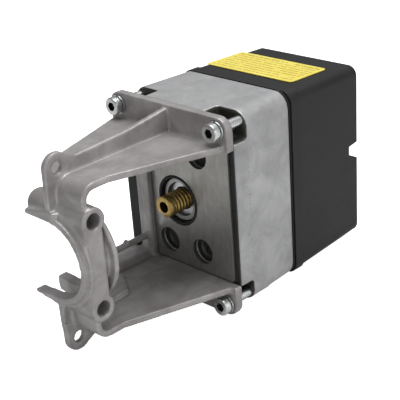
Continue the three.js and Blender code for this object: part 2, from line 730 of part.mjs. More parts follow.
// ---- motor
const flangeX = [gearPlateEnd + gap, gearPlateEnd + gap + motorFlangeThickness];
const canX = [flangeX[1] + gap, flangeX[1] + gap + motorLength];
const bellX = [canX[1] + gap, canX[1] + gap + endBellLength];
const flange = rod("x", motorAt, motorRadius - 1, flangeX, 32).add(prism("x", roundedOutline(
  [motorAt[0] - motorRadius / 2 + 0.5, motorAt[0] + motorRadius / 2 - 0.5],
  [motorAt[1] - motorRadius - 3.5, motorAt[1] + motorRadius + 3.5], 3, 3), flangeX));
const shaftHole = motorShaftRadius + 0.4;
place("motor_flange", flange.subtract(rod("x", motorAt, shaftHole, [flangeX[0] - 1, flangeX[1] + 1], 16)),
  "plateSteel");
place("motor_can", turned("x", motorAt, [
  [0, canX[0]], [motorRadius - 0.6, canX[0]], [motorRadius, canX[0] + 0.6],
  [motorRadius, canX[1] - 0.6], [motorRadius - 0.6, canX[1]], [0, canX[1]],
], 36).subtract(rod("x", motorAt, shaftHole, [canX[0] - 1, canX[0] + 20], 16)), "plateSteel");
place("motor_end_bell", rod("x", motorAt, endBellRadius, bellX, 28), "blackPlastic");
place("motor_shaft", rod("x", motorAt, motorShaftRadius, [thirdWheelLayer[0] - 1, canX[0] + 19], 14),
  "brightSteel");
place("motor_pinion", gear(motorAt, motorPinionTeeth, fineModule,
  [thirdWheelLayer[0] - 0.5, thirdWheelLayer[1] + 0.5], motorPinionPhase)
  .subtract(rod("x", motorAt, motorShaftRadius + 0.2, [0, gearPlateX], 14)), "brass");

// ---- cover gasket and cover
const lipHalfWidth = rearHalf[0] + lipOverhangY;
const lipHalfHeight = rearHalf[1] - lipInsetZ;
const coverHalf = [lipHalfWidth - lipStep, lipHalfHeight - lipStep + 0.2];
const coverEndHalf = [coverHalf[0] - coverDraft, coverHalf[1] - coverDraft];
const wellFloor = coverEnd - wellDepth;
const postY = coverEndHalf[0] - coverWall - postRadius - gap + 0.1;
const postAt = (near) => [postY * near, (channelFloor[0] + channelFloor[1]) / 2 - 1];

function coverShell() {
  const lip = draftedBox(coverStart, lipEnd, [lipHalfWidth, lipHalfHeight],
    [lipHalfWidth, lipHalfHeight], coverEdgeRadius + lipStep);
  const body = draftedBox(lipEnd - 0.1, coverEnd, coverHalf, coverEndHalf, coverEdgeRadius);
  const inner = coverHalf.map((half) => half - coverWall);
  const innerEnd = coverEndHalf.map((half) => half - coverWall);
  const mouth = coverEnd - channelDepth;
  const [lowMouth, highMouth] = channelMouth;
  const [lowFloor, highFloor] = channelFloor;
  const wide = lipHalfWidth + 5;
  const groove = prism("y", [[coverEnd + 1, lowMouth], [coverEnd + 1, highMouth],
    [mouth, highFloor], [mouth, lowFloor]], [-wide, wide]);
  const grooveWall = prism("y", [[coverEnd + 1, lowMouth - coverWall],
    [coverEnd + 1, highMouth + coverWall], [mouth - coverWall, highFloor + coverWall],
    [mouth - coverWall, lowFloor - coverWall]], [-wide, wide]);
  let hollowInside = draftedBox(coverStart - 1, coverEnd - coverWall, inner, innerEnd,
    coverEdgeRadius - coverWall + 0.5).subtract(grooveWall);
  for (const near of [1, -1]) {
    hollowInside = hollowInside.subtract(
      rod("x", postAt(near), wellRadius + coverWall, [wellFloor - coverWall, coverEnd]));
  }
  let shell = lip.add(body).subtract(hollowInside).subtract(groove);
  for (const near of [1, -1]) {
    shell = shell.subtract(rod("x", postAt(near), wellRadius, [wellFloor, coverEnd + 1]))
      .subtract(rod("x", postAt(near), coverScrewRadius + runningGap, [wellFloor - 4, coverEnd], 16));
  }
  return shell;
}
place("cover", coverShell(), "blackPlastic");

const coverGasketX = [gearboxDepth + gap, coverStart - gap];
place("cover_gasket", draftedBox(...coverGasketX, rearHalf, rearHalf, gearboxEdgeRadius)
  .subtract(draftedBox(coverGasketX[0] - 1, coverGasketX[1] + 1,
    rearHalf.map((half) => half - 3), rearHalf.map((half) => half - 3), gearboxEdgeRadius - 3)),
"blackRubber");

// ---- cover posts and cover screws
for (const [name, near] of [["near", -1], ["far", 1]]) {
  const at = postAt(near);
  const postEnd = wellFloor - coverWall - gap;
  const post = rod("x", at, postRadius, [gearPlateEnd + gap, postEnd], 18)
    .subtract(rod("x", at, coverScrewRadius + runningGap, [postEnd - 12, postEnd + 1], 14));
  place(`cover_post_${name}`, post, "brightSteel");
  const headX = wellFloor + gap;
  const screw = turned("x", at, [
    [0, postEnd - 10], [coverScrewRadius, postEnd - 10], [coverScrewRadius, headX],
    [coverScrewHead, headX], [coverScrewHead, headX + 1.6], [coverScrewHead - 0.8, headX + 2.2],
    [0, headX + 2.2],
  ], 18);
  const slot = block([headX + 1.2, headX + 3], [at[0] - 4, at[0] + 4], [at[1] - 0.4, at[1] + 0.4]);
  place(`cover_screw_${name}`, screw.subtract(slot), "brightSteel");
}

// ---- label on the cover's top
function label() {
  const slope = Math.atan2(coverHalf[1] - coverEndHalf[1], coverEnd - lipEnd);
  const outline = roundedOutline([0, labelEnd - labelStart], [labelNearY, labelFarY], labelCorner, 5);
  const shape = new THREE.Shape(outline.map(([u, v]) => new THREE.Vector2(u, v)));
  const geometry = new THREE.ExtrudeGeometry(shape, { depth: labelThickness, bevelEnabled: false });
  geometry.rotateY(slope);
  const topZ = coverHalf[1] - Math.tan(slope) * (labelStart - lipEnd);
  geometry.translate(labelStart, 0, topZ + labelGap);
  return solid(geometry);
}
place("label", label(), "labelYellow");

// ---- position sensor: follower arm, guide rod, slide potentiometer and wiper
const bracketY = [-postY + postRadius + gap, -postY + postRadius + gap + bracketThickness];
const boardY = [bracketY[1] + gap, bracketY[1] + gap + boardThickness];
const potY = [boardY[1] + gap, boardY[1] + gap + potHeight];
const armX = [stemRear - armThickness, stemRear];
const armMiddle = (armX[0] + armX[1]) / 2;
const ringRadius = stemRadius + runningGap + armRingWall;
const armHalf = 3.2;
const arm = rod("x", [0, 0], ringRadius, armX, 28)
  .add(block(armX, [-armHalf, armHalf], [guideRodZ, 0]))
  .add(rod("x", [0, guideRodZ], armHalf, armX, 20))
  .subtract(rod("x", [0, 0], stemRadius + runningGap, [armX[0] - 1, armX[1] + 1], 28))
  .subtract(rod("x", [0, guideRodZ], guideRodRadius + runningGap, [armX[0] - 1, armX[1] + 1], 16));
place("follower_arm", arm, "whitePlastic");
place("guide_rod", rod("x", [0, guideRodZ], guideRodRadius, [gearPlateX + 0.5, stemRear + 6], 16),
  "brightSteel");
place("wiper", block([armMiddle - 1, armMiddle + 1], [potY[0] + 2, -armHalf - gap],
  [guideRodZ - 1.2, guideRodZ + 1.2]), "brass");
const potX = [armMiddle - stemStroke - 2.5, armMiddle + 3.5];
const pot = block(potX, potY, [guideRodZ - potHalfWidth, guideRodZ + potHalfWidth])
  .subtract(block([armMiddle - stemStroke - 1.6, armMiddle + 1.6], [potY[0] + 1.4, potY[1] + 1],
    [guideRodZ - 1.8, guideRodZ + 1.8]));
place("slide_potentiometer", pot, "blackPlastic");

// ---- circuit board, its bracket and its parts
const boardEnd = wellFloor - coverWall - roomGap;
const boardX = [gearPlateEnd + gap + bracketThickness + gap, boardEnd];
const boardScrewAt = [[boardX[0] + 4, 31], [boardX[0] + 4, -31]];
let board = block(boardX, boardY, [-boardHalfHeight, boardHalfHeight]);
let bracket = block([gearPlateEnd + gap, boardX[0] - gap], [bracketY[0] - 3, bracketY[1]], [-35, 35])
  .add(block([gearPlateEnd + gap, boardX[0] + 9], bracketY, [-35, 35]))
  .subtract(block([gearPlateEnd - 1, boardX[0] + 20], [bracketY[0] - 9, bracketY[0] + 0.1], [-6, 9]))
  .subtract(block([boardX[0] + 1, boardX[0] + 20], [bracketY[0] - 1, bracketY[1] + 1], [-26, 26]));
boardScrewAt.forEach((at, index) => {
  const hole = rod("y", at, 1.1 + runningGap, [bracketY[0] - 1, boardY[1] + 1], 14);
  board = board.subtract(hole);
  bracket = bracket.subtract(hole);
  const screw = turned("y", at, [
    [0, bracketY[0] + 0.1], [1.1, bracketY[0] + 0.1], [1.1, boardY[1] + gap], [2.2, boardY[1] + gap],
    [2.2, boardY[1] + gap + 1.2], [1.6, boardY[1] + gap + 1.7], [0, boardY[1] + gap + 1.7],
  ], 16);
  place(`board_screw_${index + 1}`, screw, "brightSteel");
});
place("circuit_board", board, "boardGreen");
place("board_bracket", bracket, "plateSteel");

const onBoard = boardY[1] + gap;
const terminalX = [boardEnd - boardMargin - terminalLength, boardEnd - boardMargin];
const terminalLow = guideRodZ + potHalfWidth + roomGap;
const terminalHigh = terminalLow + poles * polePitch;
const terminalTop = onBoard + terminalHeight;
let terminals = block(terminalX, [onBoard, terminalTop], [terminalLow, terminalHigh]);
for (let pole = 0; pole < poles; pole += 1) {
  const z = terminalLow + (pole + 0.5) * polePitch;
  const screwWell = rod("y", [terminalX[0] + 3.5, z], 1.8, [onBoard + 4, terminalTop + 1], 12);
  const wireMouth = block([terminalX[1] - 3, terminalX[1] + 1], [onBoard + 1.5, onBoard + 5.5],
    [z - 1.8, z + 1.8]);
  terminals = terminals.subtract(screwWell).subtract(wireMouth);
}
place("terminal_block", terminals, "greenPlastic");

const aboveTerminals = terminalHigh + roomGap;
const capacitorTop = onBoard + capacitorHeight;
const capacitorAt = [boardEnd - boardMargin - capacitorRadius,
  boardMargin + capacitorRadius - boardHalfHeight];
place("capacitor", turned("y", capacitorAt, [
  [0, onBoard], [capacitorRadius, onBoard], [capacitorRadius, capacitorTop - 0.6],
  [capacitorRadius - 0.5, capacitorTop], [0, capacitorTop],
], 24), "blackPlastic");
const relayX = [boardX[0] + relayStart, boardX[0] + relayStart + relayLength];
place("relay", block(relayX, [onBoard, onBoard + relayHeight],
  [aboveTerminals, aboveTerminals + relayWidth]), "whitePlastic");

// ---- origin at the middle of the whole object
const modelEnds = new THREE.Box3().setFromObject(assembly);
assembly.position.x = -(modelEnds.min.x + modelEnds.max.x) / 2;

export default assembly;
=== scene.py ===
import json
import math
import bpy
from mathutils import Matrix, Vector

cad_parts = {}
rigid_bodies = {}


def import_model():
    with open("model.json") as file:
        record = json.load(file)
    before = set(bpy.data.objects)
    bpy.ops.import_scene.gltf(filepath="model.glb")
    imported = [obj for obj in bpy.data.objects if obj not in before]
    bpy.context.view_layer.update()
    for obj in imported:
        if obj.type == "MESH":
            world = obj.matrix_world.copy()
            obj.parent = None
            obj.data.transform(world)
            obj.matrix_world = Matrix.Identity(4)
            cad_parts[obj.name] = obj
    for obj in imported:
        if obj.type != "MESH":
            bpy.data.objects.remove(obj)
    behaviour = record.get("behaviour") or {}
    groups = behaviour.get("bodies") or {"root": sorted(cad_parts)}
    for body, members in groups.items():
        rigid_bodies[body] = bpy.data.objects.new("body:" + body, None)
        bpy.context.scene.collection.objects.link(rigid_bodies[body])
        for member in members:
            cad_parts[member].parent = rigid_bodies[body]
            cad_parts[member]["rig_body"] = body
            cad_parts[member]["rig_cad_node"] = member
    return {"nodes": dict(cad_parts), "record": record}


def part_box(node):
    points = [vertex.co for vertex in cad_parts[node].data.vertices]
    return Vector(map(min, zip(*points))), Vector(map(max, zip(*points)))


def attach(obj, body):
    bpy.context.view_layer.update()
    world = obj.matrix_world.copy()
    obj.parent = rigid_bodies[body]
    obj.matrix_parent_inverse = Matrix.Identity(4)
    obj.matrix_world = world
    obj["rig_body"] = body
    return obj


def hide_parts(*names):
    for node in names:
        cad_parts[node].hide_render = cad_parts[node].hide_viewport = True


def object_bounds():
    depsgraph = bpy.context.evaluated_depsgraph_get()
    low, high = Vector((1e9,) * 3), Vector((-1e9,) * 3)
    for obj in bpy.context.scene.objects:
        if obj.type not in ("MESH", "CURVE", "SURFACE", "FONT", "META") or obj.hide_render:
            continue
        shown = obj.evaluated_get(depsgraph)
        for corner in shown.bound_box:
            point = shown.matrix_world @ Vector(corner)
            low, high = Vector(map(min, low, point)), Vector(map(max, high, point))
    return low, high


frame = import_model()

cad_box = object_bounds()

# Motorised actuator head: cast yoke, die-cast gearbox, black cover, brass stem.
# Everything is in metres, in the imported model's frame: +X runs from the saddle to the cover.
MM = 0.001
FRONT_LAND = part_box("gearbox_housing")[0].x
ROWS = {row["node"]: row for row in frame["record"]["subparts"]}
CORNERS = ("upper_near", "upper_far", "lower_near", "lower_far")

# ---- driving sizes ---------------------------------------------------------------------------

YOKE_VOXEL = 0.6 * MM
GEARBOX_VOXEL = 0.8 * MM
FRONT_BAND = 8.4 * MM  # untapered length of the gearbox, and the depth of its corner recesses

STEM_FRONT, STEM_REAR = (corner.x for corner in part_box("stem"))
STEM_RADIUS = 5.2 * MM
COLLAR_LENGTH = 3 * MM
COLLAR_CHAMFER = 0.45 * MM
THREAD_CREST = 5.15 * MM  # just inside the shank, so that the two don't share a face
THREAD_ROOT = 4.3 * MM
THREAD_PITCH = 2 * MM
THREAD_LENGTH = 20.5 * MM
THREAD_BASE_WIDTH = 1.7 * MM
THREAD_CREST_WIDTH = 0.64 * MM
THREAD_STEPS = 48  # in each turn
STEM_HOLE_RADIUS = 2.75 * MM
STEM_HOLE_DEPTH = 8 * MM
NOTCH_DEPTH = 1.6 * MM

SCREW_FRONT, SCREW_END = (corner.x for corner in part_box("cap_screw_upper_near"))
SCREW_HEAD_HEIGHT = 3.4 * MM
SCREW_HEAD_RADIUS = 4.25 * MM
SCREW_HEAD_ROUND = 0.5 * MM
SCREW_RADIUS = 2.5 * MM
SOCKET_RADIUS = 2.3 * MM
SOCKET_DEPTH = 2 * MM
THREADED_HOLE_RADIUS = 3.2 * MM

OVERRUN = 1 * MM  # how far a cutter runs past the face that it cuts
OVERLAP = 0.5 * MM  # how deep two pieces reach into each other before they are united


# ---- small tools -----------------------------------------------------------------------------

def clear_selection():
    if bpy.context.object and bpy.context.object.mode != "OBJECT":
        bpy.ops.object.mode_set(mode="OBJECT")
    bpy.ops.object.select_all(action="DESELECT")


def take(piece):
    clear_selection()
    piece.select_set(True)
    bpy.context.view_layer.objects.active = piece
    return piece


def finish_modifier(piece, kind, **settings):
    take(piece)
    modifier = piece.modifiers.new(kind.title(), kind)
    for name, value in settings.items():
        setattr(modifier, name, value)
    bpy.ops.object.modifier_apply(modifier=modifier.name)


def settle(piece):
    """Puts a piece's place into its mesh, so that its object sits at the origin."""
    take(piece)
    bpy.ops.object.transform_apply(location=True, rotation=True, scale=True)


def cut(piece, cutter):
    finish_modifier(piece, "BOOLEAN", operation="DIFFERENCE", solver="EXACT", object=cutter)
    bpy.data.objects.remove(cutter)


def join(first, *others):
    take(first)
    for other in others:
        other.select_set(True)
    bpy.ops.object.join()
    return first


def rod_along_x(name, centre, radius, x0, x1, sides=64):
    clear_selection()
    bpy.ops.mesh.primitive_cylinder_add(
        vertices=sides, radius=radius, depth=x1 - x0,
        location=((x0 + x1) / 2, centre[0], centre[1]), rotation=(0, math.pi / 2, 0))
    piece = bpy.context.active_object
    piece.name = name
    settle(piece)
    return piece


def block(name, low, high):
    clear_selection()
    middle = [(a + b) / 2 for a, b in zip(low, high)]
    bpy.ops.mesh.primitive_cube_add(size=1, location=middle)
    piece = bpy.context.active_object
    piece.name = name
    piece.scale = [b - a for a, b in zip(low, high)]
    settle(piece)
    return piece


def soften(piece, width, segments=2, limit=30):
    """Rounds the sharp edges by a small bevel and shades the piece smooth between them."""
    finish_modifier(piece, "BEVEL", width=width, segments=segments, limit_method="ANGLE",
                    angle_limit=math.radians(limit), use_clamp_overlap=True, miter_outer="MITER_ARC")
    smooth_between_edges(piece, limit)
    finish_modifier(piece, "WEIGHTED_NORMAL", keep_sharp=True)


def dress(piece, body, slot, material, *stands_for):
    piece.data.materials.clear()
    piece.data.materials.append(material)
    piece.data.name = piece.name
    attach(piece, body)
    if stands_for:
        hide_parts(*stands_for)
    return piece


def stand_in(piece, node, material):
    """Dresses a modelled piece with the body of the CAD node it replaces."""
    body = frame["nodes"][node]["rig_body"]
    return dress(piece, body, ROWS[node]["material_slot"], material, node)


def along(x):
    """A place along the stem, in millimetres behind the gearbox's front land."""
    return FRONT_LAND + x * MM


def middle_of(node):
    """The Y and Z of a CAD node's middle."""
    low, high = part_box(node)
    return (low.y + high.y) / 2, (low.z + high.z) / 2


def smooth_between_edges(piece, degrees=35):
    take(piece)
    bpy.ops.object.shade_smooth_by_angle(angle=math.radians(degrees))


def unite(piece, other):
    finish_modifier(piece, "BOOLEAN", operation="UNION", solver="EXACT", object=other)
    bpy.data.objects.remove(other)


def node_copy(node, name):
    """A merged copy of a CAD node, to be worked further."""
    take(frame["nodes"][node])
    bpy.ops.object.duplicate()
    piece = bpy.context.active_object
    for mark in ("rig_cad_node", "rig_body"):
        if mark in piece:
            del piece[mark]
    bpy.ops.object.parent_clear(type="CLEAR_KEEP_TRANSFORM")
    piece.name = name
    bpy.ops.object.mode_set(mode="EDIT")
    bpy.ops.mesh.select_all(action="SELECT")
    bpy.ops.mesh.remove_doubles(threshold=0.002 * MM)
    bpy.ops.object.mode_set(mode="OBJECT")
    return piece


def join_flats(piece, degrees=0.6):
    take(piece)
    bpy.ops.object.mode_set(mode="EDIT")
    bpy.ops.mesh.select_all(action="SELECT")
    bpy.ops.mesh.dissolve_limited(angle_limit=math.radians(degrees))
    bpy.ops.object.mode_set(mode="OBJECT")


# ---- camera, light and floor -----------------------------------------------------------------

CAMERA_AZIMUTH = math.radians(-44.277)
CAMERA_ELEVATION = math.radians(24.455)
CAMERA_ROLL = math.radians(-4.215)
CAMERA_FROM_LAND = Vector((-302.7, -322.7, 199.9)) * MM
CAMERA_LENS = 93.84


def add_camera():
    back = Vector((
        math.sin(CAMERA_AZIMUTH) * math.cos(CAMERA_ELEVATION),
        -math.cos(CAMERA_AZIMUTH) * math.cos(CAMERA_ELEVATION),
        math.sin(CAMERA_ELEVATION)))
    right = Vector((0, 0, 1)).cross(back).normalized()
    up = back.cross(right)
    turn = Matrix.Rotation(CAMERA_ROLL, 3, "Z")
    axes = Matrix((right, up, back)).transposed() @ turn
    data = bpy.data.cameras.new("camera")
    data.lens = CAMERA_LENS
    data.sensor_width = 36
    data.clip_start = 0.01
    camera = bpy.data.objects.new("camera", data)
    camera.matrix_world = Matrix.Translation(
        CAMERA_FROM_LAND + Vector((FRONT_LAND, 0, 0))) @ axes.to_4x4()
    bpy.context.scene.collection.objects.link(camera)
    bpy.context.scene.camera = camera


def add_area_light(name, place, size, power, towards=(0, 0, 0)):
    data = bpy.data.lights.new(name, "AREA")
    data.shape = "SQUARE"
    data.size = size
    data.energy = power
    light = bpy.data.objects.new(name, data)
    light.location = place
    aim = Vector(towards) - Vector(place)
    light.rotation_euler = aim.to_track_quat("-Z", "Y").to_euler()
    bpy.context.scene.collection.objects.link(light)


def add_dome(scene):
    """Daylight from above that falls off to the horizon; plain white where the camera sees it."""
    world = bpy.data.worlds.new("studio")
    world.use_nodes = True
    tree = world.node_tree
    background = tree.nodes["Background"]
    place = tree.nodes.new("ShaderNodeTexCoord")
    split = tree.nodes.new("ShaderNodeSeparateXYZ")
    ramp = tree.nodes.new("ShaderNodeMapRange")
    ramp.inputs["From Min"].default_value = -0.1
    ramp.inputs["From Max"].default_value = 0.9
    ramp.inputs["To Min"].default_value = 0.10
    ramp.inputs["To Max"].default_value = 0.62
    side = tree.nodes.new("ShaderNodeMapRange")
    side.inputs["From Min"].default_value = -1.0
    side.inputs["From Max"].default_value = 0.6
    side.inputs["To Min"].default_value = 0.55
    side.inputs["To Max"].default_value = 1.0
    both = tree.nodes.new("ShaderNodeMath")
    both.operation = "MULTIPLY"
    seen = tree.nodes.new("ShaderNodeLightPath")
    strength = tree.nodes.new("ShaderNodeMix")
    tree.links.new(place.outputs["Generated"], split.inputs[0])
    tree.links.new(split.outputs["Z"], ramp.inputs["Value"])
    tree.links.new(split.outputs["X"], side.inputs["Value"])
    tree.links.new(ramp.outputs["Result"], both.inputs[0])
    tree.links.new(side.outputs["Result"], both.inputs[1])
    tree.links.new(seen.outputs["Is Camera Ray"], strength.inputs[0])
    tree.links.new(both.outputs[0], strength.inputs[2])
    strength.inputs[3].default_value = 1.1
    tree.links.new(strength.outputs[0], background.inputs["Strength"])
    background.inputs["Color"].default_value = (0.98, 0.99, 1.0, 1)
    scene.world = world


def add_floor():
    clear_selection()
    bpy.ops.mesh.primitive_plane_add(size=6, location=(0, 0, cad_box[0][2] - 0.2 * MM))
    floor = bpy.context.active_object
    floor.name = "floor"
    white = bpy.data.materials.new("white_floor")
    white.use_nodes = True
    tree = white.node_tree
    shader = tree.nodes["Principled BSDF"]
    shader.inputs["Base Color"].default_value = (0.72, 0.72, 0.72, 1)
    shader.inputs["Roughness"].default_value = 0.9
    shader.inputs["Emission Color"].default_value = (1, 1, 1, 1)
    seen = tree.nodes.new("ShaderNodeLightPath")
    tree.links.new(seen.outputs["Is Camera Ray"], shader.inputs["Emission Strength"])
    floor.data.materials.append(white)


def add_studio():
    scene = bpy.context.scene
    scene.view_settings.view_transform = "Standard"
    add_dome(scene)
    add_floor()
    add_area_light("top_light", (0.10, -0.05, 0.80), 0.6, 6.2)
    add_area_light("side_light", (0.30, -0.85, 0.25), 0.6, 1.7)
    add_area_light("front_light", (-0.75, -0.35, 0.05), 0.5, 1.6)


add_camera()
add_studio()


# ---- shader node groups ----------------------------------------------------------------------

def new_group(name, inputs, outputs):
    group = bpy.data.node_groups.new(name, "ShaderNodeTree")
    for label, kind, value in inputs:
        socket = group.interface.new_socket(label, in_out="INPUT", socket_type=kind)
        if value is not None:
            socket.default_value = value
    for label, kind in outputs:
        group.interface.new_socket(label, in_out="OUTPUT", socket_type=kind)
    return group


class Wiring:
    """Adds nodes to one tree and links them by name."""

    def __init__(self, tree):
        self.tree = tree

    def node(self, kind, settings=None, **links):
        made = self.tree.nodes.new(kind)
        for name, value in (settings or {}).items():
            if name in made.inputs:
                made.inputs[name].default_value = value
            else:
                setattr(made, name, value)
        for name, source in links.items():
            self.tree.links.new(source, made.inputs[name.replace("_", " ")])
        return made

    def link(self, source, socket):
        self.tree.links.new(source, socket)

    def maths(self, operation, a, b=None, clamp=False):
        made = self.tree.nodes.new("ShaderNodeMath")
        made.operation = operation
        made.use_clamp = clamp
        for index, value in enumerate((a, b)):
            if value is None:
                continue
            if isinstance(value, (int, float)):
                made.inputs[index].default_value = value
            else:
                self.tree.links.new(value, made.inputs[index])
        return made.outputs[0]

    def noise(self, vector, scale, detail=4.0, roughness=0.55, distortion=0.0):
        made = self.node("ShaderNodeTexNoise", {
            "Scale": scale, "Detail": detail, "Roughness": roughness, "Distortion": distortion})
        self.tree.links.new(vector, made.inputs["Vector"])
        return made.outputs["Fac"]

    def ramp(self, value, *stops):
        made = self.tree.nodes.new("ShaderNodeValToRGB")
        while len(made.color_ramp.elements) < len(stops):
            made.color_ramp.elements.new(0.5)
        for element, (place, colour) in zip(made.color_ramp.elements, stops):
            element.position = place
            element.color = (*colour, 1) if len(colour) == 3 else colour
        self.tree.links.new(value, made.inputs["Fac"])
        return made.outputs["Color"]

    def fade(self, value, low, high, start=0.0, end=1.0):
        made = self.node("ShaderNodeMapRange", {
            "From Min": low, "From Max": high, "To Min": start, "To Max": end})
        self.tree.links.new(value, made.inputs["Value"])
        return made.outputs["Result"]

    def mix(self, share, a, b, blend="MIX"):
        made = self.tree.nodes.new("ShaderNodeMix")
        made.data_type = "RGBA"
        made.blend_type = blend
        for name, value in ((0, share), (6, a), (7, b)):
            if isinstance(value, (int, float)):
                made.inputs[name].default_value = value
            elif isinstance(value, tuple):
                made.inputs[name].default_value = (*value, 1)
            else:
                self.tree.links.new(value, made.inputs[name])
        return made.outputs[2]


def make_casting_skin():
    """Cloudy tone, fine grain and scattered pits of a die-cast surface."""
    group = new_group(
        "casting_skin",
        [("Vector", "NodeSocketVector", None), ("Cloud Scale", "NodeSocketFloat", 110.0),
         ("Grain Scale", "NodeSocketFloat", 1700.0), ("Pit Scale", "NodeSocketFloat", 420.0)],
        [("Cloud", "NodeSocketFloat"), ("Grain", "NodeSocketFloat"), ("Pits", "NodeSocketFloat"),
         ("Height", "NodeSocketFloat")])
    wire = Wiring(group)
    given = wire.node("NodeGroupInput")
    result = wire.node("NodeGroupOutput")
    vector = given.outputs["Vector"]
    cloud = wire.node("ShaderNodeTexNoise", {"Detail": 5.0, "Roughness": 0.62, "Distortion": 0.5})
    wire.link(vector, cloud.inputs["Vector"])
    wire.link(given.outputs["Cloud Scale"], cloud.inputs["Scale"])
    grain = wire.node("ShaderNodeTexNoise", {"Detail": 3.0, "Roughness": 0.6})
    wire.link(vector, grain.inputs["Vector"])
    wire.link(given.outputs["Grain Scale"], grain.inputs["Scale"])
    cells = wire.node("ShaderNodeTexVoronoi", {"Randomness": 1.0})
    wire.link(vector, cells.inputs["Vector"])
    wire.link(given.outputs["Pit Scale"], cells.inputs["Scale"])
    scatter = wire.fade(wire.noise(vector, 300.0, 2.0), 0.64, 0.76)
    pits = wire.maths("MULTIPLY", wire.fade(cells.outputs["Distance"], 0.24, 0.12), scatter, True)
    height = wire.maths("ADD", wire.maths("MULTIPLY", grain.outputs["Fac"], 0.07),
                        wire.maths("MULTIPLY", cloud.outputs["Fac"], 0.5))
    height = wire.maths("SUBTRACT", height, pits)
    wire.link(cloud.outputs["Fac"], result.inputs["Cloud"])
    wire.link(grain.outputs["Fac"], result.inputs["Grain"])
    wire.link(pits, result.inputs["Pits"])
    wire.link(height, result.inputs["Height"])
    return group


def make_edge_rub_and_crevice_shade():
    """A mask that is 1 where a convex edge has been rubbed bright and 0 elsewhere, and a mask of the
    concave creases that take painted shade.
    """
    group = new_group(
        "edge_rub_and_crevice_shade",
        [("Vector", "NodeSocketVector", None), ("Start", "NodeSocketFloat", 0.53),
         ("End", "NodeSocketFloat", 0.62), ("Break Scale", "NodeSocketFloat", 900.0)],
        [("Rub", "NodeSocketFloat"), ("Crevice Shade", "NodeSocketFloat")])
    wire = Wiring(group)
    given = wire.node("NodeGroupInput")
    result = wire.node("NodeGroupOutput")
    point = wire.node("ShaderNodeNewGeometry").outputs["Pointiness"]
    spread = wire.node("ShaderNodeMapRange")
    wire.link(point, spread.inputs["Value"])
    wire.link(given.outputs["Start"], spread.inputs["From Min"])
    wire.link(given.outputs["End"], spread.inputs["From Max"])
    patch = wire.node("ShaderNodeTexNoise", {"Detail": 4.0, "Roughness": 0.6})
    wire.link(given.outputs["Vector"], patch.inputs["Vector"])
    wire.link(given.outputs["Break Scale"], patch.inputs["Scale"])
    broken = wire.fade(patch.outputs["Fac"], 0.35, 0.6)
    wire.link(wire.maths("MULTIPLY", spread.outputs["Result"], broken, True), result.inputs["Rub"])
    # painted shade: a mask of the concave creases, where the colour is darkened as if unlit
    wire.link(wire.fade(point, 0.48, 0.40), result.inputs["Crevice Shade"])
    return group


def make_drawn_lines():
    """Fine parallel lines of rolled or ground metal, drawn along the stretched axis."""
    group = new_group(
        "drawn_lines",
        [("Vector", "NodeSocketVector", None), ("Stretch", "NodeSocketVector", (1.0, 1.0, 1.0)),
         ("Scale", "NodeSocketFloat", 900.0)],
        [("Lines", "NodeSocketFloat"), ("Stain", "NodeSocketFloat")])
    wire = Wiring(group)
    given = wire.node("NodeGroupInput")
    result = wire.node("NodeGroupOutput")
    pulled = wire.node("ShaderNodeVectorMath", {"operation": "MULTIPLY"})
    wire.link(given.outputs["Vector"], pulled.inputs[0])
    wire.link(given.outputs["Stretch"], pulled.inputs[1])
    lines = wire.node("ShaderNodeTexNoise", {"Detail": 5.0, "Roughness": 0.7})
    wire.link(pulled.outputs["Vector"], lines.inputs["Vector"])
    wire.link(given.outputs["Scale"], lines.inputs["Scale"])
    tone_patch = wire.noise(given.outputs["Vector"], 160.0, 4.0, 0.6, 0.8)
    wire.link(lines.outputs["Fac"], result.inputs["Lines"])
    wire.link(tone_patch, result.inputs["Stain"])
    return group


CASTING_SKIN = make_casting_skin()
EDGE_RUB_AND_CREVICE_SHADE = make_edge_rub_and_crevice_shade()
DRAWN_LINES = make_drawn_lines()


# ---- materials -------------------------------------------------------------------------------

def start_material(name, roughness=0.5, metallic=0.0):
    material = bpy.data.materials.new(name)
    material.use_nodes = True
    wire = Wiring(material.node_tree)
    shader = material.node_tree.nodes["Principled BSDF"]
    shader.inputs["Roughness"].default_value = roughness
    shader.inputs["Metallic"].default_value = metallic
    vector = wire.node("ShaderNodeTexCoord").outputs["Object"]
    return material, wire, shader, vector


def use_group(wire, group, vector, **values):
    made = wire.node("ShaderNodeGroup")
    made.node_tree = group
    wire.link(vector, made.inputs["Vector"])
    for name, value in values.items():
        made.inputs[name.replace("_", " ")].default_value = value
    return made


def add_bump(wire, shader, height, distance, strength=1.0):
    bump = wire.node("ShaderNodeBump", {"Distance": distance, "Strength": strength})
    wire.link(height, bump.inputs["Height"])
    wire.link(bump.outputs["Normal"], shader.inputs["Normal"])


def make_cast_alloy(name, dark, mid, light, bright, cloud_scale, roughness, pit_scale=420.0):
    material, wire, shader, vector = start_material(name, metallic=0.35)
    skin = use_group(wire, CASTING_SKIN, vector, Cloud_Scale=cloud_scale, Pit_Scale=pit_scale)
    edge = use_group(wire, EDGE_RUB_AND_CREVICE_SHADE, vector)
    cloud = wire.maths("ADD", wire.maths("MULTIPLY", skin.outputs["Cloud"], 0.9),
                       wire.maths("MULTIPLY", skin.outputs["Grain"], 0.1))
    tone = wire.ramp(cloud, (0.32, dark), (0.5, mid), (0.68, light))
    rubbed = wire.mix(edge.outputs["Rub"], tone, bright)
    # painted shade: the concave creases are darkened towards a deep tone of the alloy
    crevice_painted_shade = wire.mix(wire.maths("MULTIPLY", edge.outputs["Crevice Shade"], 0.6), rubbed,
                    tuple(0.35 * value for value in dark))
    pitted = wire.mix(skin.outputs["Pits"], crevice_painted_shade, tuple(0.25 * value for value in dark))
    wire.link(pitted, shader.inputs["Base Color"])
    wire.link(wire.fade(skin.outputs["Cloud"], 0.3, 0.7, roughness + 0.1, roughness - 0.08),
              shader.inputs["Roughness"])
    add_bump(wire, shader, skin.outputs["Height"], 0.12 * MM, 0.6)
    return material


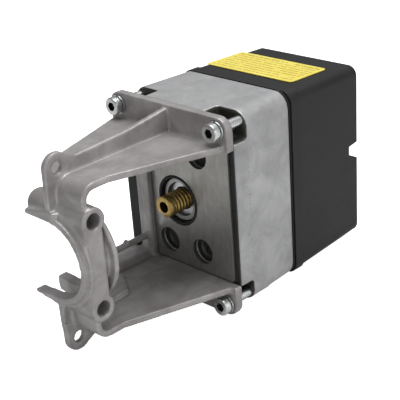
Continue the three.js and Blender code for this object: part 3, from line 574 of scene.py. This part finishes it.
def tone_patch(material, name, colour, reach, share=0.9):
    """Lays the given dark colour wherever the reach function's mask is 1: painted shade in the screws'
    sockets, and the darker grooves of the stem's thread.
    """
    wire = Wiring(material.node_tree)
    shader = material.node_tree.nodes["Principled BSDF"]
    split = wire.node("ShaderNodeSeparateXYZ")
    wire.link(wire.node("ShaderNodeTexCoord").outputs["Object"], split.inputs[0])
    mask = reach(wire, split.outputs["X"], split.outputs["Y"], split.outputs["Z"])
    base = shader.inputs["Base Color"].links[0].from_socket
    blend = wire.mix(wire.maths("MULTIPLY", mask, share, True), base, colour)
    blend.node.label = name
    wire.link(blend, shader.inputs["Base Color"])


def distance_from(wire, a, b, middle_a, middle_b):
    off_a = wire.maths("SUBTRACT", wire.maths("ABSOLUTE", a), middle_a)
    off_b = wire.maths("SUBTRACT", wire.maths("ABSOLUTE", b), middle_b)
    squares = wire.maths("ADD", wire.maths("MULTIPLY", off_a, off_a),
                         wire.maths("MULTIPLY", off_b, off_b))
    return wire.maths("SQRT", squares)


def socket_reach(wire, x, y, z):
    """The inside of the long screws' sockets, where painted shade goes."""
    screw_y, screw_z = (abs(place) for place in middle_of("cap_screw_upper_near"))
    from_axis = distance_from(wire, y, z, screw_y, screw_z)
    inside = wire.fade(from_axis, SOCKET_RADIUS + 0.12 * MM, SOCKET_RADIUS + 0.06 * MM)
    behind = wire.fade(x, SCREW_FRONT + 0.04 * MM, SCREW_FRONT + 0.14 * MM)
    before = wire.fade(x, SCREW_FRONT + SOCKET_DEPTH + 0.5 * MM, SCREW_FRONT + SOCKET_DEPTH + 0.3 * MM)
    return wire.maths("MULTIPLY", inside, wire.maths("MULTIPLY", behind, before))


def thread_reach(wire, x, y, z):
    """The grooves between the thread's crests, in front of the plain shank."""
    from_axis = distance_from(wire, y, z, 0.0, 0.0)
    groove = wire.fade(from_axis, THREAD_CREST - 0.2 * MM, THREAD_ROOT + 0.25 * MM)
    thread_start = STEM_FRONT + COLLAR_LENGTH
    return wire.maths("MULTIPLY", groove, wire.fade(x, thread_start, thread_start + 0.2 * MM), True)


def make_gearbox_alloy():
    """The cast alloy with painted shade, near black with an olive tinge, in its corner recesses and
    inside, and a row of pits on the line where the draft starts.
    """
    material = make_cast_alloy("gearbox_die_cast_alloy", (0.30, 0.30, 0.30), (0.365, 0.365, 0.37),
                               (0.45, 0.45, 0.45), (0.62, 0.62, 0.62), 75.0, 0.44, 260.0)
    wire = Wiring(material.node_tree)
    shader = material.node_tree.nodes["Principled BSDF"]
    vector = wire.node("ShaderNodeTexCoord").outputs["Object"]
    split = wire.node("ShaderNodeSeparateXYZ")
    wire.link(vector, split.inputs[0])
    across = wire.maths("ABSOLUTE", split.outputs["Y"])
    height = wire.maths("ABSOLUTE", split.outputs["Z"])
    x = split.outputs["X"]

    def between(value, low, high):
        return wire.maths("MULTIPLY", wire.fade(value, low, low + 0.1 * MM),
                          wire.fade(value, high + 0.1 * MM, high), True)

    # painted shade: the corner recesses' floors and walls are darkened as if unlit
    corner = wire.maths("MULTIPLY", between(across, 18.5 * MM, 35.2 * MM),
                        between(height, 34.6 * MM, 46.9 * MM))
    corner = wire.maths("MULTIPLY", corner, between(x, along(0.4), along(9)))
    # painted shade: the housing's inside, behind the front land, is darkened as if unlit
    inside = wire.maths("MULTIPLY", wire.fade(across, 27 * MM, 26 * MM),
                        wire.fade(height, 34 * MM, 33 * MM))
    inside = wire.maths("MULTIPLY", inside, wire.fade(x, along(0.3), along(0.8)))
    hollow_painted_shade = wire.maths("MAXIMUM", corner, inside, True)
    speck = wire.fade(wire.noise(vector, 1100.0, 3.0), 0.55, 0.62)
    crease_x = FRONT_LAND + FRONT_BAND
    crease = wire.maths("MULTIPLY", between(x, crease_x - 0.3 * MM, crease_x + 0.3 * MM), speck, True)
    base = shader.inputs["Base Color"].links[0].from_socket
    toned = wire.mix(wire.maths("MULTIPLY", crease, 0.75), base, (0.07, 0.07, 0.07))
    # lays the painted shade, near black with an olive tinge, over the recesses and the inside
    wire.link(wire.mix(wire.maths("MULTIPLY", hollow_painted_shade, 0.93), toned, (0.030, 0.032, 0.020)),
              shader.inputs["Base Color"])
    return material


def make_sheet_steel(name, dark, light, stretch, roughness=0.38, scale=900.0, metallic=0.9):
    material, wire, shader, vector = start_material(name, metallic=metallic)
    drawn = use_group(wire, DRAWN_LINES, vector, Stretch=stretch, Scale=scale)
    both = wire.maths("ADD", wire.maths("MULTIPLY", drawn.outputs["Lines"], 0.55),
                      wire.maths("MULTIPLY", drawn.outputs["Stain"], 0.45))
    wire.link(wire.ramp(both, (0.3, dark), (0.7, light)), shader.inputs["Base Color"])
    wire.link(wire.fade(both, 0.3, 0.7, roughness + 0.1, roughness - 0.06),
              shader.inputs["Roughness"])
    add_bump(wire, shader, drawn.outputs["Lines"], 0.02 * MM, 0.6)
    return material


def make_moulded_plastic(name, dark, light, roughness, grain_scale=1900.0, depth=0.05):
    material, wire, shader, vector = start_material(name)
    grain = wire.noise(vector, grain_scale, 3.0, 0.6)
    haze = wire.noise(vector, 70.0, 5.0, 0.6, 0.6)
    dust = wire.fade(wire.noise(vector, 5200.0, 2.0), 0.62, 0.72)
    tone = wire.ramp(haze, (0.3, dark), (0.7, light))
    specked = wire.mix(wire.maths("MULTIPLY", dust, 0.25), tone,
                       tuple(min(1.0, 2.2 * value + 0.02) for value in light))
    wire.link(specked, shader.inputs["Base Color"])
    shader.inputs["Specular IOR Level"].default_value = 0.32
    wire.link(wire.fade(haze, 0.3, 0.7, roughness - 0.06, roughness + 0.08),
              shader.inputs["Roughness"])
    add_bump(wire, shader, grain, depth * MM, 0.7)
    return material


def make_printed_film():
    """Yellow film with rows of plain printed dashes across the cover, a heavier row at the top."""
    material, wire, shader, vector = start_material("yellow_label_film", 0.4)
    split = wire.node("ShaderNodeSeparateXYZ")
    wire.link(vector, split.inputs[0])
    depth = wire.fade(split.outputs["X"], along(54.6), along(78.6), 0.0, 8.0)
    row = wire.maths("FRACT", depth)
    ink = wire.maths("MULTIPLY", wire.fade(row, 0.28, 0.36), wire.fade(row, 0.66, 0.58), True)
    number = wire.maths("FLOOR", depth)
    shifted = wire.node("ShaderNodeCombineXYZ")
    wire.link(split.outputs["Y"], shifted.inputs["Y"])
    wire.link(number, shifted.inputs["X"])
    dashes = wire.fade(wire.noise(shifted.outputs[0], 620.0, 2.0), 0.43, 0.47)
    words = wire.fade(wire.noise(shifted.outputs[0], 90.0, 1.0), 0.36, 0.40)
    inside = wire.maths("MULTIPLY", wire.fade(split.outputs["Y"], -22.0 * MM, -21.8 * MM),
                        wire.fade(split.outputs["Y"], 28.5 * MM, 28.3 * MM), True)
    ink = wire.maths("MULTIPLY", ink, wire.maths("MULTIPLY", dashes, words))
    ink = wire.maths("MULTIPLY", ink, inside)
    strength = wire.fade(depth, 6.9, 7.1, 0.6, 0.97)
    film = wire.ramp(wire.noise(vector, 120.0, 4.0), (0.3, (0.74, 0.60, 0.09)),
                     (0.7, (0.82, 0.69, 0.13)))
    printed = wire.mix(wire.maths("MULTIPLY", ink, strength), film, (0.16, 0.13, 0.02))
    wire.link(printed, shader.inputs["Base Color"])
    add_bump(wire, shader, wire.noise(vector, 900.0, 2.0), 0.02 * MM, 0.4)
    return material


YOKE_ALLOY = make_cast_alloy("yoke_die_cast_alloy", (0.245, 0.228, 0.224), (0.325, 0.308, 0.304),
                             (0.42, 0.405, 0.40), (0.70, 0.69, 0.68), 70.0, 0.40)
GEARBOX_ALLOY = make_gearbox_alloy()
ZINC = make_sheet_steel("bright_zinc_plate", (0.50, 0.52, 0.52), (0.78, 0.80, 0.79),
                        (1.0, 0.2, 0.2), 0.26, 1400.0, 1.0)
SHEET = make_sheet_steel("rolled_sheet_steel", (0.27, 0.265, 0.25), (0.40, 0.395, 0.38),
                         (1.0, 1.0, 0.12), 0.36)
OILED_STEEL = make_sheet_steel("oiled_black_steel", (0.03, 0.03, 0.03), (0.10, 0.10, 0.10),
                               (1.0, 1.0, 0.3), 0.4)
GEAR_STEEL = make_sheet_steel("machined_gear_steel", (0.42, 0.43, 0.44), (0.62, 0.63, 0.64),
                              (1.0, 0.3, 0.3), 0.3, 1200.0, 1.0)
BRASS = make_sheet_steel("machined_brass", (0.30, 0.20, 0.06), (0.66, 0.47, 0.17),
                         (1.0, 0.25, 0.25), 0.34, 1500.0, 1.0)
# painted shade: the inside of the screws' sockets is darkened as if unlit
tone_patch(ZINC, "socket_shade", (0.02, 0.02, 0.018), socket_reach)
# the grooves between the thread's crests are laid a darker brown
tone_patch(BRASS, "thread_groove_darkening", (0.045, 0.028, 0.010), thread_reach)
RUBBER = make_moulded_plastic("black_rubber", (0.012, 0.012, 0.012), (0.03, 0.03, 0.03), 0.62)
COVER_PLASTIC = make_moulded_plastic("black_cover_plastic", (0.008, 0.008, 0.009),
                                     (0.015, 0.015, 0.016), 0.52)
BLACK_PART = make_moulded_plastic("black_component_plastic", (0.02, 0.02, 0.02),
                                  (0.04, 0.04, 0.04), 0.4)
WHITE_PART = make_moulded_plastic("pale_component_plastic", (0.62, 0.60, 0.54),
                                  (0.74, 0.72, 0.66), 0.42)
GREEN_PART = make_moulded_plastic("green_terminal_plastic", (0.03, 0.20, 0.09),
                                  (0.06, 0.30, 0.14), 0.4)
BOARD = make_moulded_plastic("green_board_laminate", (0.01, 0.12, 0.06), (0.02, 0.18, 0.09), 0.3)
LABEL_FILM = make_printed_film()


# ---- cast pieces -----------------------------------------------------------------------------

def cast_copy(node, name, voxel, rounds, *plugs):
    """A CAD node's shape with the rounded edges and filled corners of a real casting."""
    piece = node_copy(node, name)
    if plugs:
        join(piece, *plugs)
    finish_modifier(piece, "REMESH", mode="VOXEL", voxel_size=voxel, adaptivity=0.0)
    finish_modifier(piece, "SMOOTH", factor=0.5, iterations=rounds)
    take(piece)
    bpy.ops.object.shade_smooth()
    return piece


yoke = cast_copy("yoke_casting", "cast_yoke", YOKE_VOXEL, 3)
dress(yoke, "body", "yoke_alloy", YOKE_ALLOY, "yoke_casting")

# The screws' thin-walled holes are filled behind the recess floors, where the shanks hide them.
hole_fillers = [
    rod_along_x("threaded_hole", middle_of(f"cap_screw_{corner}"), THREADED_HOLE_RADIUS,
                FRONT_LAND + FRONT_BAND + OVERLAP, SCREW_END + OVERRUN, 32)
    for corner in CORNERS]
housing = cast_copy("gearbox_housing", "cast_gearbox", GEARBOX_VOXEL, 3, *hole_fillers)
dress(housing, "body", "gearbox_alloy", GEARBOX_ALLOY, "gearbox_housing")

# ---- threaded stem ---------------------------------------------------------------------------

def thread_coil(start, turns):
    """One helical ridge: a closed trapezoid swept about the stem's axis."""
    base = THREAD_ROOT - 0.25 * MM
    height = THREAD_CREST - base
    clear_selection()
    bpy.ops.mesh.primitive_plane_add(size=1, location=(start, base + height / 2, 0))
    coil = bpy.context.active_object
    coil.name = "thread_coil"
    coil.scale = (THREAD_BASE_WIDTH, height, 1)
    settle(coil)
    for corner in coil.data.vertices:
        corner.select = corner.co.y > base + height / 2
    for edge in coil.data.edges:
        edge.select = all(coil.data.vertices[index].select for index in edge.vertices)
    for face in coil.data.polygons:
        face.select = False
    bpy.ops.object.mode_set(mode="EDIT")
    bpy.ops.transform.resize(value=(THREAD_CREST_WIDTH / THREAD_BASE_WIDTH, 1, 1),
                             center_override=(start, THREAD_CREST, 0))
    bpy.ops.mesh.select_all(action="SELECT")
    bpy.ops.mesh.delete(type="ONLY_FACE")
    bpy.ops.object.mode_set(mode="OBJECT")
    steps = int(THREAD_STEPS * turns)
    finish_modifier(coil, "SCREW", axis="X", angle=2 * math.pi * turns,
                    screw_offset=THREAD_PITCH * turns, steps=steps, render_steps=steps,
                    use_normal_calculate=True)
    take(coil)
    bpy.ops.object.mode_set(mode="EDIT")
    bpy.ops.mesh.select_all(action="SELECT")
    bpy.ops.mesh.fill_holes(sides=0)
    bpy.ops.mesh.select_all(action="SELECT")
    bpy.ops.mesh.normals_make_consistent(inside=False)
    bpy.ops.object.mode_set(mode="OBJECT")
    return coil


def threaded_stem():
    axis = (0, 0)
    thread_start = STEM_FRONT + COLLAR_LENGTH
    thread_end = thread_start + THREAD_LENGTH
    stem = rod_along_x("threaded_stem", axis, THREAD_ROOT, thread_start - OVERRUN,
                       thread_end + OVERRUN, 96)
    turns = (THREAD_LENGTH + 1.1 * MM) / THREAD_PITCH
    unite(stem, thread_coil(thread_start - 0.7 * MM, turns))
    collar = rod_along_x("stem_collar", axis, STEM_RADIUS, STEM_FRONT, thread_start, 96)
    soften(collar, COLLAR_CHAMFER, 2)
    unite(stem, collar)
    unite(stem, rod_along_x("stem_shank", axis, STEM_RADIUS, thread_end, STEM_REAR, 96))
    cut(stem, rod_along_x("stem_hole", axis, STEM_HOLE_RADIUS, STEM_FRONT - OVERRUN,
                          STEM_FRONT + STEM_HOLE_DEPTH, 64))
    cut(stem, block("stem_notch", (STEM_FRONT - OVERRUN, 1 * MM, -6.5 * MM),
                    (STEM_FRONT + NOTCH_DEPTH, 6.5 * MM, -3.2 * MM)))
    smooth_between_edges(stem)
    return stem


stand_in(threaded_stem(), "stem", BRASS)


# ---- long socket screws ----------------------------------------------------------------------

def socket_screw(name, axis):
    head_back = SCREW_FRONT + SCREW_HEAD_HEIGHT
    screw = rod_along_x(name, axis, SCREW_HEAD_RADIUS, SCREW_FRONT, head_back, 96)
    soften(screw, SCREW_HEAD_ROUND, 3)
    unite(screw, rod_along_x("shank", axis, SCREW_RADIUS, head_back - OVERLAP, SCREW_END, 48))
    cut(screw, rod_along_x("socket", axis, SOCKET_RADIUS, SCREW_FRONT - OVERRUN,
                           SCREW_FRONT + SOCKET_DEPTH, 6))
    smooth_between_edges(screw)
    return screw


def copied_screw(first, name, first_axis, axis):
    take(first)
    bpy.ops.object.duplicate()
    screw = bpy.context.active_object
    screw.name = name
    screw.location = (0, axis[0] - first_axis[0], axis[1] - first_axis[1])
    settle(screw)
    return screw


first_axis = middle_of(f"cap_screw_{CORNERS[0]}")
screws = [socket_screw(f"socket_screw_{CORNERS[0]}", first_axis)]
for corner in CORNERS[1:]:
    screws.append(copied_screw(screws[0], f"socket_screw_{corner}", first_axis,
                               middle_of(f"cap_screw_{corner}")))
for corner, screw in zip(CORNERS, screws):
    stand_in(screw, f"cap_screw_{corner}", ZINC)


# ---- the other CAD pieces, with their edges eased --------------------------------------------

SLOT_MATERIALS = {
    "yoke_alloy": YOKE_ALLOY, "gearbox_alloy": GEARBOX_ALLOY, "zinc_steel": ZINC,
    "plate_steel": SHEET, "dark_steel": OILED_STEEL, "gear_steel": GEAR_STEEL,
    "stem_brass": BRASS, "black_rubber": RUBBER, "cover_plastic": COVER_PLASTIC,
    "label_film": LABEL_FILM, "board_laminate": BOARD, "terminal_plastic": GREEN_PART,
    "black_component": BLACK_PART, "white_component": WHITE_PART,
}
EASED_EDGE = {  # millimetres
    "cover": 0.45, "front_plate": 0.25, "stem_seal_ring": 0.45, "stem_bush": 0.2, "label": 0.05,
    "motor_can": 0.3, "motor_end_bell": 0.4, "capacitor": 0.3, "relay": 0.4, "follower_arm": 0.3,
    "terminal_block": 0.25, "slide_potentiometer": 0.25, "circuit_board": 0.1,
}
SHAPED = {"yoke_casting", "gearbox_housing", "stem", *(f"cap_screw_{corner}" for corner in CORNERS)}
PLAIN_EDGE = 0.12
for node, row in ROWS.items():
    if node not in SHAPED:
        eased = node_copy(node, f"eased_{node}")
        join_flats(eased)
        soften(eased, EASED_EDGE.get(node, PLAIN_EDGE) * MM)
        material = SHEET if node == "stem_bush" else SLOT_MATERIALS[row["material_slot"]]
        stand_in(eased, node, material)
for row in frame["record"]["subparts"]:
    piece = frame["nodes"][row["node"]]
    piece.data.materials.clear()
    piece.data.materials.append(SLOT_MATERIALS[row["material_slot"]])
